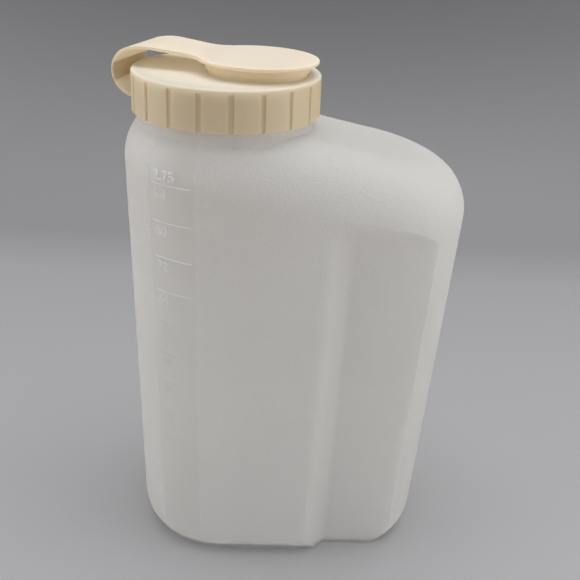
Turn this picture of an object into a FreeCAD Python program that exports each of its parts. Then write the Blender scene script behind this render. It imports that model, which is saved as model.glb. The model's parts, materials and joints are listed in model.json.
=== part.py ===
import FreeCAD, Part
import math
import os
import Sketcher

# A slim drink pitcher for a refrigerator door: a hollow bottle that is round at both ends, with a
# sloping shoulder, a wide neck at the front and a grip pressed into each side at the rear; a screw
# cap with eighteen grip pads and a pouring hole; and a stopper that fills the hole, held to the
# cap's skirt by a strap that loops out past the front.
# The frame: millimetres, +Z up, X from the pouring end (-X) to the grip (+X), the origin on the
# table at the middle of the bottle's length and width.

SIZES = {
    "body_length": 162.4,        # bottle, front to rear, at the top of its heel
    "body_width": 92.4,          # bottle, side to side, at the top of its heel
    "wall_lean": 0.5,            # degrees that the sides and the rear lean outwards
    "wall": 1.3,                 # bottle's wall and floor
    "foot_height": 3.0,          # upright band that the bottle stands on
    "heel_height": 14.4,         # the heel curves in below this height, down to the foot
    "foot_inset": 5.198,         # from the heel's outermost line in to the foot
    "rim_height": 260.9,         # top of the neck, which carries the cap
    "neck_height": 14.4,         # rim above the shoulder's slope, on the neck's axis
    "neck_radius": 40.0,
    "neck_margin": 7.3,          # from the neck to the front wall
    "shoulder_slope": 11.0,      # degrees down towards the rear
    "shoulder_round": 27.4,      # rounding from the slope to the upright walls
    "grip_length": 54.9,         # floor of the grip, from its front edge to the rear wall
    "grip_depth": 10.7,
    "grip_drop": 48.5,           # top of the grip's floor below the slope on the neck's axis
    "grip_corner": 4.0,          # corner of the grip's floor
    "grip_corner_growth": 0.47,  # growth of that corner for each millimetre outwards
    "grip_slope": 45.0,          # degrees between the grip's floor and its front and top walls
    "grip_inner_round": 4.0,     # rounding between the floor and those walls
    "grip_outer_round": 8.0,     # rounding between those walls and the side of the bottle
    "cap_height": 17.8,
    "cap_plate": 1.6,            # thickness of the cap's flat top
    "cap_skirt": 2.0,            # thickness of the skirt at its lower edge
    "cap_lean": 1.16,            # degrees that the skirt leans in towards the top
    "cap_edge_round": 1.2,
    "thread_gap": 1.0,           # room for the thread between the neck and the skirt
    "pad_count": 18,             # grip pads round the skirt
    "channel_width": 2.6,        # groove between two pads
    "channel_depth": 0.8,
    "channel_turn": 13.0,        # degrees from the stopper to the first groove
    "channel_stop": 1.7,         # cap's top above the end of a groove
    "closure_turn": 16.0,        # degrees from the grip to the stopper, clockwise about the neck
    "hole_margin": 3.95,         # from the pouring hole to the inside of the skirt
    "plug_radius": 22.4,
    "plug_reach": 6.0,           # depth of the plug below the cap's top
    "plug_taper": 1.0,           # degrees
    "plug_wall": 1.5,
    "plug_clearance": 0.35,      # between the plug and the pouring hole
    "collar_step": 1.0,          # the collar above the plug stands out from it by this much
    "collar_gap": 1.8,           # from the cap's top to the collar
    "flange_overhang": 3.9,      # the flange stands out from the collar by this much
    "flange_thickness": 1.6,
    "flange_rise": 6.8,          # top of the flange above the cap's top
    "flange_round": 0.6,
    "strap_width": 33.0,
    "strap_thickness": 1.2,
    "strap_stand": 5.6,          # the strap's loop stands out from the skirt by this much
    "strap_low_bend": 10.7,      # outer radius of the loop below its outermost line
    "strap_high_bend": 10.7,     # outer radius of the loop above its outermost line
    "strap_rise": 13.0,          # degrees at which the strap still rises after the loop
    "strap_arch": 39.0,          # outer radius of its arch over the cap
    "strap_end": 8.3093,         # from the flange's rim to where the strap sinks into the flange
    "strap_waist": 6.0,          # degrees at which its sides close in towards the flange
    "strap_waist_start": 17.6,   # from the outside of the loop to where they start to
    "strap_flare": 10.0,         # fillet where the strap widens into the flange
    "strap_merge": 3.0,          # the strap thickens over this length in front of the flange
    "hinge_rise": 2.7,           # cap's top above the line on which the strap folds
    "hinge_gap": 0.3,            # between the two ends of the strap at that line
}

doc = FreeCAD.newDocument("pitcher")
sheet = doc.addObject("Spreadsheet::Sheet", "Sizes")
for row, (alias, number) in enumerate(SIZES.items(), start=1):
    sheet.set(f"A{row}", alias)
    sheet.set(f"B{row}", str(number))
    sheet.setAlias(f"B{row}", alias)
doc.recompute()


class Size:
    """A length, an angle or a ratio, with the expression that works it out from the sheet."""

    def __init__(self, value, text):
        self.value = value
        self.text = text

    def joined(self, sign, other, value):
        return Size(value, f"({self.text} {sign} {as_size(other).text})")

    def __add__(self, other):
        return self.joined("+", other, self.value + as_size(other).value)

    def __sub__(self, other):
        return self.joined("-", other, self.value - as_size(other).value)

    def __mul__(self, other):
        return self.joined("*", other, self.value * as_size(other).value)

    def __truediv__(self, other):
        return self.joined("/", other, self.value / as_size(other).value)

    def __radd__(self, other):
        return as_size(other) + self

    def __rsub__(self, other):
        return as_size(other) - self

    def __rmul__(self, other):
        return as_size(other) * self

    def __neg__(self):
        return Size(-self.value, f"(-1 * {self.text})")


def as_size(number):
    return number if isinstance(number, Size) else Size(float(number), repr(float(number)))


def named(alias):
    """The value of one cell of the sheet."""
    return Size(float(sheet.get(alias)), f"Sizes.{alias}")


def sine(angle):
    return Size(math.sin(math.radians(angle.value)), f"sin({angle.text} * 1 deg)")


def cosine(angle):
    return Size(math.cos(math.radians(angle.value)), f"cos({angle.text} * 1 deg)")


def tangent(angle):
    return Size(math.tan(math.radians(angle.value)), f"tan({angle.text} * 1 deg)")


def root(number):
    return Size(math.sqrt(number.value), f"sqrt({number.text})")


def bind(thing, path, size):
    """Tie one property of an object to the sheet."""
    thing.setExpression(path, as_size(size).text)


def new_body(label):
    body = doc.addObject("PartDesign::Body", label)
    body.Label = label
    return body


def origin_item(body, role):
    """One of the body's own origin planes or axes."""
    return next(item for item in body.Origin.OriginFeatures if item.Role == role)


def new_sketch(body, name, plane, shift=0):
    """A sketch on one of the body's own origin planes, moved along that plane's normal."""
    sketch = body.newObject("Sketcher::SketchObject", name)
    sketch.AttachmentSupport = [(origin_item(body, plane), "")]
    sketch.MapMode = "FlatFace"
    bind(sketch, ".AttachmentOffset.Base.z", shift)
    return sketch


def trace(sketch, start, *moves):
    """Draw a closed outline. A move is the next corner, or the next corner, the centre of the arc
    that leads to it and +1 or -1 for an arc that turns to the left or to the right."""
    corners = [start] + [move if len(move) == 2 else move[0] for move in moves]
    spots = [FreeCAD.Vector(as_size(x).value, as_size(y).value, 0) for x, y in corners]
    first = sketch.GeometryCount
    for index, move in enumerate(moves):
        begin, end = spots[index], spots[index + 1]
        if len(move) == 2:
            sketch.addGeometry(Part.LineSegment(begin, end))
            continue
        centre = FreeCAD.Vector(as_size(move[1][0]).value, as_size(move[1][1]).value, 0)
        low, high = (begin, end) if move[2] > 0 else (end, begin)
        angles = [math.atan2(spot.y - centre.y, spot.x - centre.x) for spot in (low, high)]
        circle = Part.Circle(centre, FreeCAD.Vector(0, 0, 1), (begin - centre).Length)
        sketch.addGeometry(Part.ArcOfCircle(circle, *angles))
    ends = [(2, 1) if len(move) == 3 and move[2] < 0 else (1, 2) for move in moves]
    count = len(moves)
    for index in range(count):
        following = (index + 1) % count
        sketch.addConstraint(Sketcher.Constraint(
            "Coincident", first + index, ends[index][1], first + following, ends[following][0]))
        fix_point(sketch, first + index, ends[index][0], corners[index])
    for index, move in enumerate(moves):
        if len(move) == 3:
            fix_centre(sketch, first + index, move[1], corners[index])


def circle(sketch, x, y, radius):
    """Draw a circle with its centre and radius tied to the sheet."""
    centre = FreeCAD.Vector(as_size(x).value, as_size(y).value, 0)
    index = sketch.addGeometry(Part.Circle(centre, FreeCAD.Vector(0, 0, 1), radius.value))
    fix_point(sketch, index, 3, (x, y))
    number = sketch.addConstraint(Sketcher.Constraint("Radius", index, radius.value))
    bind(sketch, f"Constraints[{number}]", radius)


def fix_point(sketch, line, end, place):
    """Tie one end of a line to its two coordinates."""
    for kind, coordinate in zip(("DistanceX", "DistanceY"), place):
        size = as_size(coordinate)
        number = sketch.addConstraint(Sketcher.Constraint(kind, -1, 1, line, end, size.value))
        bind(sketch, f"Constraints[{number}]", size)


def fix_centre(sketch, arc, centre, begin):
    """Tie an arc, whose ends are tied already, to its radius."""
    along = as_size(begin[0]) - as_size(centre[0])
    across = as_size(begin[1]) - as_size(centre[1])
    radius = root(along * along + across * across)
    number = sketch.addConstraint(Sketcher.Constraint("Radius", arc, radius.value))
    bind(sketch, f"Constraints[{number}]", radius)


def pick_edges(shape, test):
    """Names of the edges that pass a test."""
    return [f"Edge{number}" for number, edge in enumerate(shape.Edges, start=1) if test(edge)]


def lies_at(edge, height):
    """Whether an edge lies flat at a height."""
    box = edge.BoundBox
    return abs(box.ZMin - height) < 1e-4 and abs(box.ZMax - height) < 1e-4


def is_circle(edge):
    """Whether an edge is part of a circle."""
    return isinstance(edge.Curve, Part.Circle)


def pick_rim(shape, test):
    """Names of the edges round the faces that pass a test."""
    rims = [edge for face in shape.Faces if test(face) for edge in face.Edges]
    return pick_edges(shape, lambda edge: any(edge.isSame(other) for other in rims))


def add_feature(body, kind, name, sketch, **settings):
    """Add a feature that is made from a sketch."""
    feature = body.newObject(f"PartDesign::{kind}", name)
    feature.Profile = sketch
    for setting, value in settings.items():
        setattr(feature, setting, value)
    return feature


def round_edges(body, name, edges, radius):
    """Round the named edges of the body's last feature."""
    fillet = body.newObject("PartDesign::Fillet", name)
    fillet.Base = (fillet.BaseFeature, edges)
    bind(fillet, "Radius", radius)
    return fillet


# Places that several pieces share. The neck's axis carries the cap, whose frame has its origin at
# the lower edge of the skirt and its X axis pointing from the strap to the stopper.
CUT_MARGIN = 20.0                       # how far a cutting shape reaches past what it cuts
HEEL_STEPS = (0, 0.4, 0.65, 0.85, 1)    # levels of the heel's curve, as shares of its height
GRIP_STEPS = (0, 1 / 3, 2 / 3, 1)       # levels of a rounding round the grip, as shares of its turn
neck_x = named("neck_radius") + named("neck_margin") - named("body_length") / 2
shoulder_height = named("rim_height") - named("neck_height")
cap_base = named("rim_height") + named("cap_plate") - named("cap_height")
cavity_radius = named("neck_radius") + named("thread_gap")
skirt_radius = cavity_radius + named("cap_skirt")
hole_radius = named("plug_radius") + named("plug_clearance")
stopper_offset = cavity_radius - named("hole_margin") - hole_radius
collar_radius = named("plug_radius") + named("collar_step")
flange_radius = collar_radius + named("flange_overhang")
hinge_height = named("cap_height") - named("hinge_rise")
strap_reach = skirt_radius + named("strap_stand")
strap_inside = strap_reach - named("strap_thickness")


def plan_outline(sketch, half_width, front, rear):
    """The bottle's plan: two straight sides, and a half circle at each end."""
    front_centre = front + half_width
    rear_centre = rear - half_width
    trace(
        sketch,
        (front_centre, half_width),
        ((front, 0), (front_centre, 0), 1),
        ((front_centre, -half_width), (front_centre, 0), 1),
        (rear_centre, -half_width),
        ((rear, 0), (rear_centre, 0), 1),
        ((rear_centre, half_width), (rear_centre, 0), 1),
        (front_centre, half_width),
    )


def bottle_form(name, inset, neck_top):
    """The bottle's outside, or with an inset its inside."""
    body = new_body(name)
    half_length = named("body_length") / 2
    half_width = named("body_width") / 2
    form_top = named("rim_height") + CUT_MARGIN
    spread = (form_top - named("heel_height")) * tangent(named("wall_lean"))

    # The walls: a foot, a heel that curves out in steps, and straight rulings from there up.
    heel_drop = named("heel_height") - named("foot_height")
    foot_inset = named("foot_inset")
    heel_round = (heel_drop * heel_drop + foot_inset * foot_inset) / (foot_inset * 2) - inset
    levels = []
    for share in HEEL_STEPS:
        drop = heel_drop * share
        tuck = heel_round - root(heel_round * heel_round - drop * drop)
        levels.append((named("heel_height") - drop, tuck, -tuck))
    levels.insert(0, (inset, tuck, -tuck))
    levels = levels[:1] + levels[:0:-1] + [(form_top, as_size(0), spread)]
    outlines = []
    for number, (height, front_tuck, growth) in enumerate(levels):
        outline = new_sketch(body, f"{name}_level_{number}", "XY_Plane", height)
        plan_outline(
            outline,
            half_width + growth - inset,
            front_tuck + inset - half_length,
            half_length + growth - inset,
        )
        outlines.append(outline)
    walls = add_feature(body, "AdditiveLoft", f"{name}_walls", outlines[0])
    walls.Sections = outlines[1:]
    walls.Ruled = True

    # The shoulder: everything above a slope comes off, and its rim is rounded.
    outline = new_sketch(body, f"{name}_slope", "XZ_Plane")
    reach = half_length + spread + CUT_MARGIN
    drop = tangent(named("shoulder_slope"))
    crest = shoulder_height - inset / cosine(named("shoulder_slope"))
    trace(
        outline,
        (-reach, crest + (reach + neck_x) * drop),
        (reach, crest - (reach - neck_x) * drop),
        (reach, form_top + CUT_MARGIN),
        (-reach, form_top + CUT_MARGIN),
        (-reach, crest + (reach + neck_x) * drop),
    )
    slope = add_feature(
        body, "Pocket", f"{name}_shoulder", outline, Type="ThroughAll", SideType="Symmetric")
    doc.recompute()
    rim = pick_rim(slope.Shape, lambda face: 0.1 < face.normalAt(0, 0).x < face.normalAt(0, 0).z)
    round_edges(body, f"{name}_shoulder_round", rim, named("shoulder_round") - inset)

    # The neck starts inside the shoulder.
    neck_start = shoulder_height - named("shoulder_round")
    outline = new_sketch(body, f"{name}_neck_outline", "XY_Plane", neck_start)
    circle(outline, neck_x, 0, named("neck_radius") - inset)
    neck = add_feature(body, "Pad", f"{name}_neck", outline)
    bind(neck, "Length", neck_top - neck_start)

    # The grips: a floor as steep as the side, with a slanted front wall and top wall. They are
    # open at the foot and the rear. Each outline lies at one depth and reaches out by one spread.
    turn = named("grip_slope")
    inner_round = named("grip_inner_round") + inset
    outer_round = named("grip_outer_round") - inset
    mouth = named("grip_depth") / tangent(turn)
    steps = []
    for share in GRIP_STEPS:
        steps.append((
            inner_round * (1 - cosine(turn * share)),
            inner_round * (sine(turn * share) - tangent(turn / 2)),
        ))
    for share in GRIP_STEPS[:0:-1]:
        steps.append((
            named("grip_depth") - outer_round * (1 - cosine(turn * share)),
            mouth + outer_round * (tangent(turn / 2) - sine(turn * share)),
        ))
    last = turn * GRIP_STEPS[1]
    brim = mouth + outer_round * (tangent(turn / 2) + 2 * sine(last))
    steps.append((named("grip_depth") + 2 * outer_round * (1 - cosine(last)), brim))
    steps.append((named("grip_depth") + CUT_MARGIN, brim))
    outlines = []
    for number, (depth, spread_out) in enumerate(steps):
        outline = new_sketch(body, f"{name}_grip_{number}", "XZ_Plane")
        outline.AttachmentOffset = FreeCAD.Placement(
            FreeCAD.Vector(0, 0, 0), FreeCAD.Rotation(FreeCAD.Vector(1, 0, 0), 1))
        bind(outline, ".AttachmentOffset.Base.y", named("heel_height"))
        bind(outline, ".AttachmentOffset.Base.z", half_width - named("grip_depth") - inset + depth)
        bind(outline, ".AttachmentOffset.Rotation.Angle", named("wall_lean"))
        reach_out = spread_out + inset * tangent(turn / 2)
        front = half_length - named("grip_length") - reach_out
        top = shoulder_height - named("grip_drop") - named("heel_height") + reach_out
        corner = named("grip_corner") + spread_out * named("grip_corner_growth")
        base = -named("heel_height") - CUT_MARGIN
        trace(
            outline,
            (front, base),
            (half_length + CUT_MARGIN, base),
            (half_length + CUT_MARGIN, top),
            (front + corner, top),
            ((front, top - corner), (front + corner, top - corner), 1),
            (front, base),
        )
        outlines.append(outline)
    grip = add_feature(body, "SubtractiveLoft", f"{name}_grip", outlines[0])
    grip.Sections = outlines[1:]
    grip.Ruled = True
    both = body.newObject("PartDesign::Mirrored", f"{name}_grips")
    both.Originals = [grip]
    both.MirrorPlane = (origin_item(body, "XZ_Plane"), [""])
    body.Tip = both
    return body


# Bottle: one blown skin of even thickness, its outside less its inside.
bottle = doc.addObject("Part::Cut", "bottle")
bottle.Label = "bottle"
bottle.Base = bottle_form("outside", as_size(0), named("rim_height"))
bottle.Tool = bottle_form("inside", named("wall"), named("rim_height") + CUT_MARGIN)


def place_on_neck(body, distance):
    """Turn a body with the closure, at a distance from the neck's axis towards the stopper."""
    body.Placement = FreeCAD.Placement(
        FreeCAD.Vector(0, 0, 0), FreeCAD.Rotation(FreeCAD.Vector(0, 0, -1), 10))
    bind(body, ".Placement.Base.x", neck_x + distance * cosine(named("closure_turn")))
    bind(body, ".Placement.Base.y", -distance * sine(named("closure_turn")))
    bind(body, ".Placement.Base.z", cap_base)
    bind(body, ".Placement.Rotation.Angle", named("closure_turn"))


# Screw cap: a leaning skirt with grooves between its grip pads, a flat top and the pouring hole.
# The lower end of the strap is moulded onto the skirt.
cap = new_body("cap")
place_on_neck(cap, as_size(0))
skirt_top_radius = skirt_radius - named("cap_height") * tangent(named("cap_lean"))
sketch = new_sketch(cap, "cap_profile", "XZ_Plane")
trace(
    sketch,
    (0, 0),
    (skirt_radius, 0),
    (skirt_top_radius, named("cap_height")),
    (0, named("cap_height")),
    (0, 0),
)
add_feature(
    cap, "Revolution", "cap_blank", sketch, ReferenceAxis=(origin_item(cap, "Z_Axis"), [""]))
doc.recompute()
top_edge = pick_edges(
    cap.Tip.Shape, lambda edge: lies_at(edge, named("cap_height").value) and is_circle(edge))
round_edges(cap, "cap_edge_rounded", top_edge, named("cap_edge_round"))

sketch = new_sketch(cap, "channel_profile", "XZ_Plane")
channel_top = named("cap_height") - named("channel_stop")
channel_floor = skirt_radius - named("channel_depth")
trace(
    sketch,
    (channel_floor + CUT_MARGIN * tangent(named("cap_lean")), -CUT_MARGIN),
    (skirt_radius + CUT_MARGIN, -CUT_MARGIN),
    (skirt_radius + CUT_MARGIN, channel_top),
    (channel_floor - channel_top * tangent(named("cap_lean")), channel_top),
    (channel_floor + CUT_MARGIN * tangent(named("cap_lean")), -CUT_MARGIN),
)
sketch.AttachmentOffset = FreeCAD.Placement(
    FreeCAD.Vector(0, 0, 0), FreeCAD.Rotation(FreeCAD.Vector(0, 1, 0), 10))
bind(sketch, ".AttachmentOffset.Rotation.Angle", named("channel_turn"))
channel = add_feature(cap, "Pocket", "channel", sketch, SideType="Symmetric")
bind(channel, "Length", named("channel_width"))
channels = cap.newObject("PartDesign::PolarPattern", "channels")
channels.Originals = [channel]
channels.Axis = (origin_item(cap, "Z_Axis"), [""])
bind(channels, "Occurrences", named("pad_count"))
cap.Tip = channels

sketch = new_sketch(cap, "strap_root_profile", "XZ_Plane")
bend_x = named("strap_low_bend") - strap_reach
bend_z = hinge_height - named("hinge_gap") / 2
trace(
    sketch,
    (-strap_reach, bend_z),
    ((bend_x, bend_z - named("strap_low_bend")), (bend_x, bend_z), 1),
    (0, bend_z - named("strap_low_bend")),
    (0, bend_z - named("strap_low_bend") + named("strap_thickness")),
    (bend_x, bend_z - named("strap_low_bend") + named("strap_thickness")),
    ((-strap_inside, bend_z), (bend_x, bend_z), -1),
    (-strap_reach, bend_z),
)
strap_root = add_feature(cap, "Pad", "strap_root", sketch, SideType="Symmetric")
bind(strap_root, "Length", named("strap_width"))

sketch = new_sketch(cap, "cavity_outline", "XY_Plane")
circle(sketch, 0, 0, cavity_radius)
cavity = add_feature(cap, "Pocket", "cavity", sketch, Reversed=True)
bind(cavity, "Length", named("cap_height") - named("cap_plate"))
sketch = new_sketch(cap, "hole_outline", "XY_Plane")
circle(sketch, stopper_offset, 0, hole_radius)
add_feature(cap, "Pocket", "pouring_hole", sketch, Type="ThroughAll", Reversed=True)

# Stopper: a flange, a collar and a hollow plug, turned about the stopper's own axis.
flip_top = new_body("flip_top")
place_on_neck(flip_top, stopper_offset)
flange_top = named("cap_height") + named("flange_rise")
flange_base = flange_top - named("flange_thickness")
collar_base = named("cap_height") + named("collar_gap")
plug_base = named("cap_height") - named("plug_reach")
plug_tip = named("plug_radius") - (collar_base - plug_base) * tangent(named("plug_taper"))
sketch = new_sketch(flip_top, "stopper_profile", "XZ_Plane")
trace(
    sketch,
    (0, flange_base),
    (named("plug_radius") - named("plug_wall"), flange_base),
    (plug_tip - named("plug_wall"), plug_base),
    (plug_tip, plug_base),
    (named("plug_radius"), collar_base),
    (collar_radius, collar_base),
    (collar_radius, flange_base),
    (flange_radius, flange_base),
    (flange_radius, flange_top),
    (0, flange_top),
    (0, flange_base),
)
add_feature(
    flip_top, "Revolution", "stopper", sketch,
    ReferenceAxis=(origin_item(flip_top, "Z_Axis"), [""]))
doc.recompute()
flange_edges = pick_edges(
    flip_top.Tip.Shape,
    lambda edge: is_circle(edge) and math.isclose(edge.Curve.Radius, flange_radius.value))
round_edges(flip_top, "flange_rounded", flange_edges, named("flange_round"))

# Upper end of the strap: it rises from the fold, bends over the cap and runs into the flange.
sketch = new_sketch(flip_top, "strap_profile", "XZ_Plane")
outer_x = -strap_reach - stopper_offset
inner_x = outer_x + named("strap_thickness")
bend = named("strap_high_bend")
arch = named("strap_arch")
thick = named("strap_thickness")
bend_x = outer_x + bend
bend_z = hinge_height + named("hinge_gap") / 2
rise = named("strap_rise")
arch_x = bend_x + (arch - bend) * sine(rise)
arch_z = bend_z - (arch - bend) * cosine(rise)
end_x = named("strap_end") - flange_radius
along = end_x - arch_x
above = flange_top - arch_z
apart = along * along + above * above
straight = root(apart - arch * arch)
fall_sine = (arch * along - straight * above) / apart
fall_cosine = (arch * above + straight * along) / apart
top_end = (arch_x + arch * fall_sine, arch_z + arch * fall_cosine)
under_end = (arch_x + (arch - thick) * fall_sine, arch_z + (arch - thick) * fall_cosine)
merge_x = -flange_radius - named("strap_merge")
merge_z = under_end[1] - (merge_x - under_end[0]) * fall_sine / fall_cosine
seat_z = flange_base + named("flange_thickness") / 3
trace(
    sketch,
    (outer_x, bend_z),
    (inner_x, bend_z),
    ((bend_x - (bend - thick) * sine(rise), bend_z + (bend - thick) * cosine(rise)), (bend_x, bend_z), -1),
    (under_end, (arch_x, arch_z), -1),
    (merge_x, merge_z),
    (-flange_radius + named("strap_merge"), seat_z),
    (end_x, seat_z),
    (end_x, flange_top),
    top_end,
    ((bend_x - bend * sine(rise), bend_z + bend * cosine(rise)), (arch_x, arch_z), 1),
    ((outer_x, bend_z), (bend_x, bend_z), 1),
)
strap = add_feature(flip_top, "Pad", "strap", sketch, SideType="Symmetric")
bind(strap, "Length", flange_radius * 2)

# The strap's sides are cut back to its width. They close in to a waist, then flare out to meet the
# flange's rim.
sketch = new_sketch(flip_top, "strap_sides", "XY_Plane")
half_strap = named("strap_width") / 2
waist = named("strap_waist")
flare = named("strap_flare")
waist_x = outer_x + named("strap_waist_start")
centres_apart = flange_radius + flare
off_line = waist_x * sine(waist) + half_strap * cosine(waist) + flare
along_line = root(centres_apart * centres_apart - off_line * off_line)
flare_x = off_line * sine(waist) - along_line * cosine(waist)
flare_y = off_line * cosine(waist) + along_line * sine(waist)
touch = flange_radius / centres_apart
far_x = outer_x - CUT_MARGIN
far_y = flange_radius + CUT_MARGIN
for side in (1, -1):
    trace(
        sketch,
        (far_x, half_strap * side),
        (waist_x, half_strap * side),
        (flare_x - flare * sine(waist), (flare_y - flare * cosine(waist)) * side),
        ((flare_x * touch, flare_y * touch * side), (flare_x, flare_y * side), side),
        ((0, flange_radius * side), (0, 0), -side),
        (0, far_y * side),
        (far_x, far_y * side),
        (far_x, half_strap * side),
    )
add_feature(flip_top, "Pocket", "strap_flares", sketch, Type="ThroughAll", Reversed=True)
doc.recompute()

for item in doc.Objects:
    if "Invalid" in item.State or "Error" in item.State:
        raise RuntimeError(f"{item.Label} is {item.State}")
pieces = (bottle, cap, flip_top)
for piece in pieces:
    if piece.Shape.isNull() or not piece.Shape.isValid() or len(piece.Shape.Solids) != 1:
        raise RuntimeError(f"{piece.Label} is not one sound solid")
os.makedirs("parts", exist_ok=True)
for piece in pieces:
    piece.Shape.exportStep(f"parts/{piece.Label}.step")
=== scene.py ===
import json
import math

import bmesh
import bpy
from mathutils import Matrix, Vector


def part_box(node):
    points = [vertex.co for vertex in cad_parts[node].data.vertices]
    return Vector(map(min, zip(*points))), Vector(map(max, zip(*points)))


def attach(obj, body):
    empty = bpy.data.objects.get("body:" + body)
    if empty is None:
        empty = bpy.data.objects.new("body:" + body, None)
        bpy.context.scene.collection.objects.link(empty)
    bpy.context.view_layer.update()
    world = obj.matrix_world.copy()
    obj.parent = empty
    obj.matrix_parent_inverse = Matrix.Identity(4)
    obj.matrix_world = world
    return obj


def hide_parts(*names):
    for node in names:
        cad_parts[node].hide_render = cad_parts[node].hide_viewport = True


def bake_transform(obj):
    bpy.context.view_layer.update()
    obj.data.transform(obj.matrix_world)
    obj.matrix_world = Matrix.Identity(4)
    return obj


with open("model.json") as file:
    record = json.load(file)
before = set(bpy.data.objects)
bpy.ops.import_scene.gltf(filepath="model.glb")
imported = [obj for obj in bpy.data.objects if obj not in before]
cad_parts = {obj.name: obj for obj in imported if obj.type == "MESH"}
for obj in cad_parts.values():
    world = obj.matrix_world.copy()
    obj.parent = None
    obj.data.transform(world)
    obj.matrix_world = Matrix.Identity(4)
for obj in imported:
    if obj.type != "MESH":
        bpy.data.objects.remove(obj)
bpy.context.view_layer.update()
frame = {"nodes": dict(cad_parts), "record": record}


# Bottle: one blown skin of natural polyethylene, milky and a little see-through, with a fine
# stipple from the mould, a parting line round its middle and a smooth window for the scale.
FRONT_RADIUS = 0.0462                       # of the rounded front, at the top of the heel
FRONT_FACE = -0.0812                        # X of the foremost line, the same at all heights
HEEL_TOP = 0.0144
WALL_LEAN = math.tan(math.radians(0.5))     # outwards, towards the top
WINDOW_START = math.radians(229)            # bearings about the front's centre
WINDOW_END = math.radians(259.5)
WINDOW_EDGE = 0.03                          # width in radians of the change to bare skin


class Wire:
    """An output of a node. Arithmetic on wires adds Math nodes."""

    def __init__(self, finish, socket):
        self.finish = finish
        self.socket = socket

    def maths(self, operation, first, second):
        return self.finish.add("ShaderNodeMath", {"operation": operation}, {0: first, 1: second})

    def __add__(self, other):
        return self.maths("ADD", self, other)

    def __radd__(self, other):
        return self.maths("ADD", other, self)

    def __sub__(self, other):
        return self.maths("SUBTRACT", self, other)

    def __rsub__(self, other):
        return self.maths("SUBTRACT", other, self)

    def __mul__(self, other):
        return self.maths("MULTIPLY", self, other)

    def __rmul__(self, other):
        return self.maths("MULTIPLY", other, self)


class Finish:
    """A material made of nodes."""

    def __init__(self, name):
        self.material = bpy.data.materials.new(name)
        self.material.use_nodes = True
        self.tree = self.material.node_tree
        self.tree.nodes.clear()

    def add(self, kind, settings=None, inputs=None, output=0):
        """Add a node: its settings first, then the values or wires of its inputs."""
        node = self.tree.nodes.new(kind)
        for setting, value in (settings or {}).items():
            if setting == "stops":
                stops = node.color_ramp.elements
                while len(stops) < len(value):
                    stops.new(1.0)
                for stop, (place, color) in zip(stops, value):
                    stop.position = place
                    stop.color = color
            else:
                setattr(node, setting, value)
        for name, value in (inputs or {}).items():
            if isinstance(value, Wire):
                self.tree.links.new(value.socket, node.inputs[name])
            else:
                node.inputs[name].default_value = value
        return Wire(self, node.outputs[output])

    def close(self, surface):
        end = self.tree.nodes.new("ShaderNodeOutputMaterial")
        self.tree.links.new(surface.socket, end.inputs["Surface"])
        return self.material


def dress(piece, material):
    """Give a piece one material all over."""
    if not piece.material_slots:
        piece.data.materials.append(material)
    for holder in piece.material_slots:
        holder.material = material


def milky_polyethylene():
    finish = Finish("milky_polyethylene")
    place = finish.add("ShaderNodeTexCoord", output=3)
    axes = finish.add("ShaderNodeSeparateXYZ", None, {0: place}).socket.node.outputs
    across, along = Wire(finish, axes[0]), Wire(finish, axes[1])
    clouds = finish.add("ShaderNodeTexNoise", None, {"Vector": place, "Scale": 18.0, "Detail": 3.0})
    grains = finish.add(
        "ShaderNodeTexNoise", None,
        {"Vector": place, "Scale": 1400.0, "Detail": 2.0, "Roughness": 0.7})
    specks = finish.add("ShaderNodeTexVoronoi", None, {"Vector": place, "Scale": 1000.0})

    # The window has no stipple.
    bearing = finish.add(
        "ShaderNodeMath", {"operation": "ARCTAN2"},
        {0: 0 - along, 1: FRONT_FACE + FRONT_RADIUS - across})
    first, last = WINDOW_START - math.pi, WINDOW_END - math.pi
    opened = finish.add(
        "ShaderNodeMapRange", {"interpolation_type": "SMOOTHSTEP"},
        {0: bearing, 1: first, 2: first + WINDOW_EDGE, 3: 0.0, 4: 1.0})
    closed = finish.add(
        "ShaderNodeMapRange", {"interpolation_type": "SMOOTHSTEP"},
        {0: bearing, 1: last - WINDOW_EDGE, 2: last, 3: 1.0, 4: 0.0})
    stippled = 1 - opened * closed

    # The parting line stands a hair proud where the two halves of the mould met.
    off_middle = finish.add("ShaderNodeMath", {"operation": "ABSOLUTE"}, {0: along})
    parting = finish.add(
        "ShaderNodeMapRange", {"interpolation_type": "SMOOTHSTEP"},
        {0: off_middle, 1: 0.0001, 2: 0.0005, 3: 1.0, 4: 0.0})
    height = (grains * 0.6 + specks * 0.4) * (stippled * 0.9 + 0.1) + parting * 0.5
    relief = finish.add(
        "ShaderNodeBump", None, {"Strength": 0.9, "Distance": 0.00052, "Height": height})
    tone = clouds * 0.45 + grains * stippled * 0.55
    color = finish.add(
        "ShaderNodeMix", {"data_type": "RGBA"},
        {0: tone, 6: (0.78, 0.775, 0.76, 1), 7: (0.97, 0.97, 0.96, 1)}, output=2)
    shell = finish.add("ShaderNodeBsdfPrincipled", {"distribution": "MULTI_GGX"}, {
        "Base Color": color,
        "Roughness": 0.34 + stippled * 0.12,
        "IOR": 1.5,
        "Transmission Weight": 0.65,
        "Specular IOR Level": 0.4,
        "Normal": relief,
    })
    glow = finish.add(
        "ShaderNodeBsdfTranslucent", None, {"Color": (0.93, 0.915, 0.895, 1), "Normal": relief})
    return finish.close(finish.add("ShaderNodeMixShader", None, {0: 0.45, 1: shell, 2: glow}))


polyethylene = milky_polyethylene()
dress(frame["nodes"]["bottle"], polyethylene)


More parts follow.
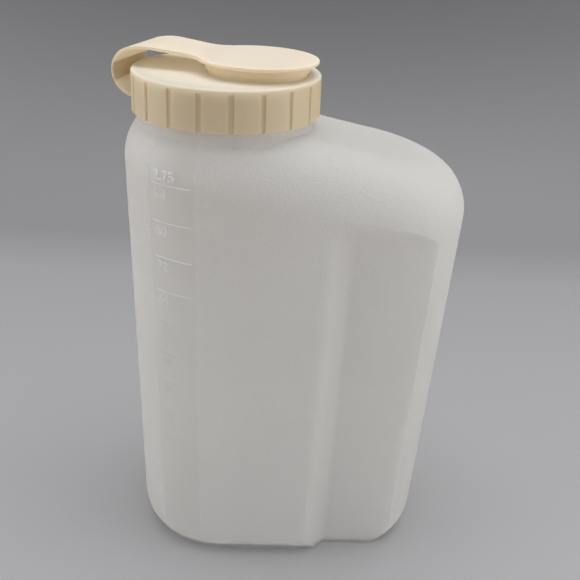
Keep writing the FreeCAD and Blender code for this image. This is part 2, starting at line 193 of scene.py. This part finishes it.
# Scale: lines and figures moulded proud on the window, in the bottle's own plastic, made whiter by
# their thickness. The lines stand 17.5 mm apart, which is 8 ounces.
TOP_LINE = 0.2213
LINE_STEP = 0.0175
SCALE_START = math.radians(231.5)
LINE_LENGTH = 0.0195
LINE_WIDTH = 0.00055
LINE_STEPS = 16
FIGURES = ("88", "80", "72", "64", "56", "48", "40", "32", "24", "16")
BOLD_MARKS = 4                              # the upper marks stand prouder than the rest
BOLD_PROUD = 0.0003
FAINT_PROUD = 0.0001
SUNK = 0.0002                               # how far the back of a mark is let into the skin
CAPITAL_SHARE = 0.72                        # height of a figure, as a share of the font's size


def on_front(run, height, proud):
    """A place on the rounded front: a run round it from the scale's left end, and a height."""
    radius = FRONT_RADIUS + (height - HEEL_TOP) * WALL_LEAN
    bearing = SCALE_START + run / radius
    reach = radius + proud
    return (FRONT_FACE + radius + reach * math.cos(bearing), reach * math.sin(bearing), height)


def placed(name, points, faces):
    """A new piece from its corners and faces."""
    mesh = bpy.data.meshes.new(name)
    mesh.from_pydata(points, [], faces)
    piece = bpy.data.objects.new(name, mesh)
    bpy.context.scene.collection.objects.link(piece)
    return piece


def moulded(name, points, faces, plastic):
    """A mark on the bottle."""
    piece = placed(name, points, faces)
    dress(piece, plastic)
    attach(piece, "bottle")


def moulded_line(name, length, height, proud, plastic):
    points = []
    for step in range(LINE_STEPS + 1):
        run = length * step / LINE_STEPS
        for up, out in ((-1, -SUNK), (-0.55, proud), (0.55, proud), (1, -SUNK)):
            points.append(on_front(run, height + up * LINE_WIDTH / 2, out))
    faces = [
        (4 * k + side, 4 * k + side + 4, 4 * k + beside + 4, 4 * k + beside)
        for k in range(LINE_STEPS) for side, beside in ((0, 1), (1, 2), (2, 3), (3, 0))]
    faces += [(0, 1, 2, 3), tuple(4 * LINE_STEPS + side for side in (3, 2, 1, 0))]
    moulded(name, points, faces, plastic)


def moulded_figures(name, figures, start, height, tall, proud, plastic):
    """Figures bent round the front, drawn flat first."""
    drawing = bpy.data.curves.new(name + "_drawing", "FONT")
    drawing.body = figures
    drawing.size = tall / CAPITAL_SHARE
    drawing.extrude = (proud + SUNK) / 2
    drawing.offset = 0.00002
    drawing.resolution_u = 3
    holder = bpy.data.objects.new(name + "_drawing", drawing)
    flat = bpy.data.meshes.new_from_object(holder)
    points = [
        on_front(start + spot.co.x, height + spot.co.y, spot.co.z + (proud - SUNK) / 2)
        for spot in flat.vertices]
    faces = [tuple(face.vertices) for face in flat.polygons]
    bpy.data.objects.remove(holder)
    bpy.data.curves.remove(drawing)
    bpy.data.meshes.remove(flat)
    moulded(name, points, faces, plastic)


def thick_polyethylene():
    finish = Finish("thick_polyethylene")
    place = finish.add("ShaderNodeTexCoord", output=3)
    wear = finish.add("ShaderNodeTexNoise", None, {"Vector": place, "Scale": 260.0, "Detail": 3.0})
    color = finish.add(
        "ShaderNodeMix", {"data_type": "RGBA"},
        {0: wear, 6: (0.78, 0.78, 0.77, 1), 7: (0.95, 0.95, 0.94, 1)}, output=2)
    shell = finish.add("ShaderNodeBsdfPrincipled", None, {
        "Base Color": color, "Roughness": 0.3 + wear * 0.15, "IOR": 1.5})
    glow = finish.add("ShaderNodeBsdfTranslucent", None, {"Color": (0.96, 0.95, 0.94, 1)})
    return finish.close(finish.add("ShaderNodeMixShader", None, {0: 0.6, 1: shell, 2: glow}))


whiter_polyethylene = thick_polyethylene()
for number, figures in enumerate(FIGURES):
    level = TOP_LINE - number * LINE_STEP
    bold = number < BOLD_MARKS
    length = LINE_LENGTH if bold else LINE_LENGTH / 2
    proud = BOLD_PROUD if bold else FAINT_PROUD
    plastic = whiter_polyethylene if bold else polyethylene
    moulded_line(f"scale_line_{number}", length, level, proud, plastic)
    moulded_figures(
        f"scale_figures_{number}", figures, 0.001, level - 0.0065, 0.0046, proud, plastic)
moulded_figures(
    "scale_top_figures", "2.75", 0.0005, TOP_LINE + 0.0019, 0.0048, BOLD_PROUD,
    whiter_polyethylene)


# Screw cap: cream polypropylene, injection moulded, satin all over. What faces up is painted paler
# as painted light, and what faces sideways, the skirt above all, darker and warmer as painted
# shade. Twenty grip pads go round the skirt, with grooves between them.
def cream_polypropylene():
    finish = Finish("cream_polypropylene")
    place = finish.add("ShaderNodeTexCoord", output=3)
    facing = finish.add("ShaderNodeTexCoord", output=1)
    upness = Wire(finish, finish.add(
        "ShaderNodeSeparateXYZ", None, {0: facing}).socket.node.outputs[2])
    flow = finish.add("ShaderNodeTexNoise", None, {"Vector": place, "Scale": 45.0, "Detail": 4.0})
    skin = finish.add("ShaderNodeTexNoise", None, {"Vector": place, "Scale": 1500.0, "Detail": 2.0})
    relief = finish.add(
        "ShaderNodeBump", None, {"Strength": 0.25, "Distance": 0.00006, "Height": skin})
    # Painted light and shade: faces that turn up take the paler tone and sideways faces the darker,
    # warmer tone, by how far each face turns up.
    painted_lit_tone = finish.add(
        "ShaderNodeMix", {"data_type": "RGBA"},
        {0: flow, 6: (0.90, 0.845, 0.745, 1), 7: (0.95, 0.905, 0.82, 1)}, output=2)
    painted_shade_tone = finish.add(
        "ShaderNodeMix", {"data_type": "RGBA"},
        {0: flow, 6: (0.69, 0.585, 0.415, 1), 7: (0.765, 0.66, 0.49, 1)}, output=2)
    painted_light_mask = finish.add(
        "ShaderNodeMapRange", {"interpolation_type": "SMOOTHSTEP"},
        {0: upness, 1: 0.2, 2: 0.8, 3: 0.0, 4: 1.0})
    color = finish.add(
        "ShaderNodeMix", {"data_type": "RGBA"}, {0: painted_light_mask, 6: painted_shade_tone, 7: painted_lit_tone}, output=2)
    shell = finish.add("ShaderNodeBsdfPrincipled", None, {
        "Base Color": color,
        "Roughness": 0.42 + flow * 0.1,
        "IOR": 1.49,
        "Subsurface Weight": 0.2,
        "Subsurface Radius": (0.004, 0.003, 0.0015),
        "Subsurface Scale": 1.0,
        "Normal": relief,
    })
    glow = finish.add(
        "ShaderNodeBsdfTranslucent", None, {"Color": (0.97, 0.90, 0.76, 1), "Normal": relief})
    return finish.close(finish.add("ShaderNodeMixShader", None, {0: 0.5, 1: shell, 2: glow}))


CLOSURE_TURN = math.radians(-16)            # from +X to the stopper, about the neck
NECK_AXIS = -0.0339
CAP_TALL = 0.0178
CAP_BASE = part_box("cap")[0][2]
CAP_RADIUS = 0.043                          # at the lower edge
CAP_LEAN = math.tan(math.radians(1.16))
CAP_ROUND = 0.0012
ROUND_STEPS = 6
CAP_PLATE = 0.0016
CAVITY_RADIUS = 0.041
HOLE_RADIUS = 0.02275
HOLE_OFFSET = 0.0143
PAD_COUNT = 20
PAD_STEPS = 7
GROOVE_WIDTH = 0.0026
GROOVE_DEPTH = 0.0008
GROOVE_TOP = 0.0161
FIRST_GROOVE = math.radians(4.1)            # bearing from the stopper
ROOT_BEND_HEIGHT = 0.01495                  # centre of the strap's lower bend
ROOT_STEPS = 16
STRAP_WIDTH = 0.033
STRAP_THICKNESS = 0.0012
STRAP_REACH = 0.0486
STRAP_BEND = 0.0107                         # outer radius of the loop, above and below
SHARP_ANGLE = math.radians(32)


def on_cap(x, y, z):
    """A place in the cap's own frame: X towards the stopper, Z up from the skirt's lower edge."""
    cosine, sine = math.cos(CLOSURE_TURN), math.sin(CLOSURE_TURN)
    return (NECK_AXIS + x * cosine - y * sine, x * sine + y * cosine, CAP_BASE + z)


def cap_bearings():
    """Bearings round the cap. Each has a 1 at the floor of a groove and a 0 elsewhere."""
    pitch = math.tau / PAD_COUNT
    half_groove = GROOVE_WIDTH / 2 / CAP_RADIUS
    bearings = []
    for pad in range(PAD_COUNT):
        centre = FIRST_GROOVE + pad * pitch
        near, far = centre - half_groove, centre + half_groove
        bearings += [(near, 0), (near, 1), (centre, 1), (far, 1), (far, 0)]
        bearings += [
            (far + (pitch - 2 * half_groove) * part / PAD_STEPS, 0)
            for part in range(1, PAD_STEPS)]
    return bearings


def cap_ring(bearings, radius, height, offset=0.0, groove=0.0):
    ring = []
    for bearing, in_groove in bearings:
        reach = radius - groove * in_groove
        ring.append(on_cap(
            offset + reach * math.cos(bearing), reach * math.sin(bearing), height))
    return ring


def add_cap_shell(shape):
    """The skirt, its rounded upper edge, the plate with its pouring hole, and the inside."""
    bearings = cap_bearings()
    groove_radius = CAP_RADIUS - GROOVE_TOP * CAP_LEAN
    top_radius = CAP_RADIUS - CAP_TALL * CAP_LEAN
    plate_underside = CAP_TALL - CAP_PLATE
    rings = [
        cap_ring(bearings, CAP_RADIUS, 0, groove=GROOVE_DEPTH),
        cap_ring(bearings, groove_radius, GROOVE_TOP, groove=GROOVE_DEPTH),
        cap_ring(bearings, groove_radius, GROOVE_TOP)]
    for part in range(ROUND_STEPS + 1):
        turn = math.radians(90 * part / ROUND_STEPS)
        rings.append(cap_ring(
            bearings, top_radius - CAP_ROUND * (1 - math.cos(turn)),
            CAP_TALL - CAP_ROUND * (1 - math.sin(turn))))
    rings += [
        cap_ring(bearings, HOLE_RADIUS, CAP_TALL, HOLE_OFFSET),
        cap_ring(bearings, HOLE_RADIUS, plate_underside, HOLE_OFFSET),
        cap_ring(bearings, CAVITY_RADIUS, plate_underside),
        cap_ring(bearings, CAVITY_RADIUS, 0)]
    corners = [[shape.verts.new(spot) for spot in ring] for ring in rings]
    for row, below in enumerate(corners):
        above = corners[(row + 1) % len(corners)]
        for column in range(len(bearings)):
            beside = (column + 1) % len(bearings)
            shape.faces.new((below[column], below[beside], above[beside], above[column]))
    bmesh.ops.remove_doubles(shape, verts=shape.verts[:], dist=1e-6)


def add_strap_root(shape):
    """The strap's lower end, which grows out of the skirt and bends up to the fold."""
    bend_x = STRAP_BEND - STRAP_REACH
    middle_of_skirt = (CAP_RADIUS + CAVITY_RADIUS) / 2
    loops = []
    for place in range(ROOT_STEPS + 1):
        y = STRAP_WIDTH * (place / ROOT_STEPS - 0.5)
        inside_skirt = math.sqrt(middle_of_skirt ** 2 - y * y)
        loop = []
        for radius, order in (
                (STRAP_BEND, range(ROOT_STEPS + 1)),
                (STRAP_BEND - STRAP_THICKNESS, range(ROOT_STEPS, -1, -1))):
            last = math.acos((inside_skirt + bend_x) / radius)
            for part in order:
                turn = last * part / ROOT_STEPS
                loop.append(shape.verts.new(on_cap(
                    bend_x - radius * math.cos(turn), y,
                    ROOT_BEND_HEIGHT - radius * math.sin(turn))))
        loops.append(loop)
    for near, far in zip(loops, loops[1:]):
        for corner in range(len(near)):
            beside = (corner + 1) % len(near)
            shape.faces.new((near[corner], near[beside], far[beside], far[corner]))
    shape.faces.new(loops[0])
    shape.faces.new(reversed(loops[-1]))


shape = bmesh.new()
add_cap_shell(shape)
add_strap_root(shape)
bmesh.ops.recalc_face_normals(shape, faces=shape.faces[:])
screw_cap = placed("screw_cap", [], [])
shape.to_mesh(screw_cap.data)
shape.free()
screw_cap.data.polygons.foreach_set("use_smooth", [True] * len(screw_cap.data.polygons))
screw_cap.data.set_sharp_from_angle(angle=SHARP_ANGLE)
cream = cream_polypropylene()
dress(screw_cap, cream)
dress(frame["nodes"]["cap"], cream)
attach(screw_cap, "bottle")
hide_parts("cap")


# Stopper and strap: the same cream plastic, moulded in one with the cap. A short sleeve of the
# strap bridges the fold, so that it runs on unbroken.
FOLD_GAP = 0.0003
SLEEVE_REACH = 0.004                        # each way along the strap
SLEEVE_STEPS = 24
SLEEVE_SKIN = 0.00004                       # proud of the strap

dress(frame["nodes"]["flip_top"], cream)
fold = next(
    joint for joint in frame["record"]["behaviour"]["joints"] if joint["name"] == "strap_fold")
fold_place = Vector(fold["pos_m"])
sideways = Vector(fold["axis"]).normalized()
outwards = Vector((sideways.y, -sideways.x, 0))
middle_radius = STRAP_BEND - STRAP_THICKNESS / 2
half_thickness = STRAP_THICKNESS / 2 + SLEEVE_SKIN
half_width = STRAP_WIDTH / 2 + SLEEVE_SKIN
points = []
for step in range(SLEEVE_STEPS + 1):
    run = SLEEVE_REACH * (2 * step / SLEEVE_STEPS - 1)
    turn = math.copysign(max(abs(run) - FOLD_GAP / 2, 0), run) / middle_radius
    rise = max(min(run, FOLD_GAP / 2), -FOLD_GAP / 2)
    for layer in (half_thickness, -half_thickness):
        radius = middle_radius + layer
        out = radius * math.cos(turn) - STRAP_BEND
        up = rise + radius * math.sin(turn)
        for side in (-1, 1):
            spot = fold_place + outwards * out + sideways * side * half_width
            points.append(spot + Vector((0, 0, up)))
faces = []
for step in range(SLEEVE_STEPS):
    near, far = 4 * step, 4 * step + 4
    faces += [
        (near, near + 1, far + 1, far), (near + 2, far + 2, far + 3, near + 3),
        (near, far, far + 2, near + 2), (near + 1, near + 3, far + 3, far + 1)]
end = 4 * SLEEVE_STEPS
faces += [(0, 2, 3, 1), (end, end + 1, end + 3, end + 2)]
sleeve = placed("strap_sleeve", points, faces)
sleeve.data.polygons.foreach_set("use_smooth", [True] * len(faces))
dress(sleeve, cream)
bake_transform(sleeve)


# Studio: a grey sweep, a broad lamp overhead, one at each side, and a weak one low in front that
# lights the foot.
SWEEP_START = 0.30                          # where the floor begins to curve up
SWEEP_RADIUS = 0.25
SWEEP_STEPS = 12
SWEEP_TOP = 1.2
SWEEP_FRONT = -1.5
SWEEP_HALF_WIDTH = 2.5
CAMERA_PLACE = (-0.01311, -0.31694, 0.32552)
CAMERA_TURNS = (2.42, 28.94, 3.44)          # yaw, pitch and roll, in degrees


def grey_sweep():
    finish = Finish("grey_sweep")
    place = finish.add("ShaderNodeTexCoord", output=3)
    axes = finish.add("ShaderNodeSeparateXYZ", None, {0: place}).socket.node.outputs
    along = Wire(finish, axes[1]) + Wire(finish, axes[2])
    # Painted shade: the colour darkens towards the back and up the wall, standing in for the lamps'
    # light falling off there.
    color = finish.add("ShaderNodeValToRGB", {"stops": (
        (0.0, (0.31, 0.306, 0.312, 1)), (0.30, (0.28, 0.276, 0.282, 1)),
        (0.38, (0.20, 0.197, 0.202, 1)), (0.8, (0.125, 0.125, 0.128, 1)))}, {0: along})
    return finish.close(
        finish.add("ShaderNodeBsdfPrincipled", None, {"Base Color": color, "Roughness": 0.6}))


rows = [(SWEEP_FRONT, 0.0), (SWEEP_START, 0.0)]
for step in range(1, SWEEP_STEPS + 1):
    turn = math.radians(90 * step / SWEEP_STEPS)
    rows.append((
        SWEEP_START + SWEEP_RADIUS * math.sin(turn), SWEEP_RADIUS * (1 - math.cos(turn))))
rows.append((SWEEP_START + SWEEP_RADIUS, SWEEP_TOP))
points = [(x, y, z) for y, z in rows for x in (-SWEEP_HALF_WIDTH, SWEEP_HALF_WIDTH)]
faces = [(2 * k, 2 * k + 1, 2 * k + 3, 2 * k + 2) for k in range(len(rows) - 1)]
sweep = placed("sweep", points, faces)
sweep.data.polygons.foreach_set("use_smooth", [True] * len(faces))
dress(sweep, grey_sweep())


def lamp(name, place, target, power, size, spread=180):
    light = bpy.data.lights.new(name, "AREA")
    light.shape = "DISK"
    light.size = size
    light.energy = power
    light.spread = math.radians(spread)
    holder = bpy.data.objects.new(name, light)
    holder.location = place
    holder.rotation_euler = (Vector(target) - Vector(place)).to_track_quat("-Z", "Y").to_euler()
    bpy.context.scene.collection.objects.link(holder)


middle = (0.0, 0.0, 0.15)
low = (0.0, 0.0, 0.05)
lamp("overhead", (0.12, 0.2, 1.3), middle, 13.5, 1.3)
lamp("left", (-0.9, 0.0, 0.3), low, 5, 0.9)
lamp("right", (0.95, -0.1, 0.3), low, 5.5, 0.9)
lamp("foot", (-0.1, -0.8, 0.2), (0, 0, -0.06), 0.1, 0.3, 36)

world = bpy.data.worlds.new("room")
world.use_nodes = True
world.node_tree.nodes["Background"].inputs["Color"].default_value = (0.97, 0.975, 1.0, 1)
world.node_tree.nodes["Background"].inputs["Strength"].default_value = 0.6
bpy.context.scene.world = world

yaw, pitch, roll = (math.radians(angle) for angle in CAMERA_TURNS)
forward = Vector((
    math.sin(yaw) * math.cos(pitch), math.cos(yaw) * math.cos(pitch), -math.sin(pitch)))
level_right = Vector((math.cos(yaw), -math.sin(yaw), 0))
level_up = level_right.cross(forward)
right = math.cos(roll) * level_right + math.sin(roll) * level_up
up = -math.sin(roll) * level_right + math.cos(roll) * level_up
lens = bpy.data.cameras.new("camera")
lens.lens = 42.37
lens.sensor_width = 36.0
camera = bpy.data.objects.new("camera", lens)
camera.matrix_world = Matrix((
    (right.x, up.x, -forward.x, CAMERA_PLACE[0]),
    (right.y, up.y, -forward.y, CAMERA_PLACE[1]),
    (right.z, up.z, -forward.z, CAMERA_PLACE[2]),
    (0, 0, 0, 1)))
bpy.context.scene.collection.objects.link(camera)
bpy.context.scene.camera = camera
bpy.context.scene.view_settings.view_transform = "Standard"
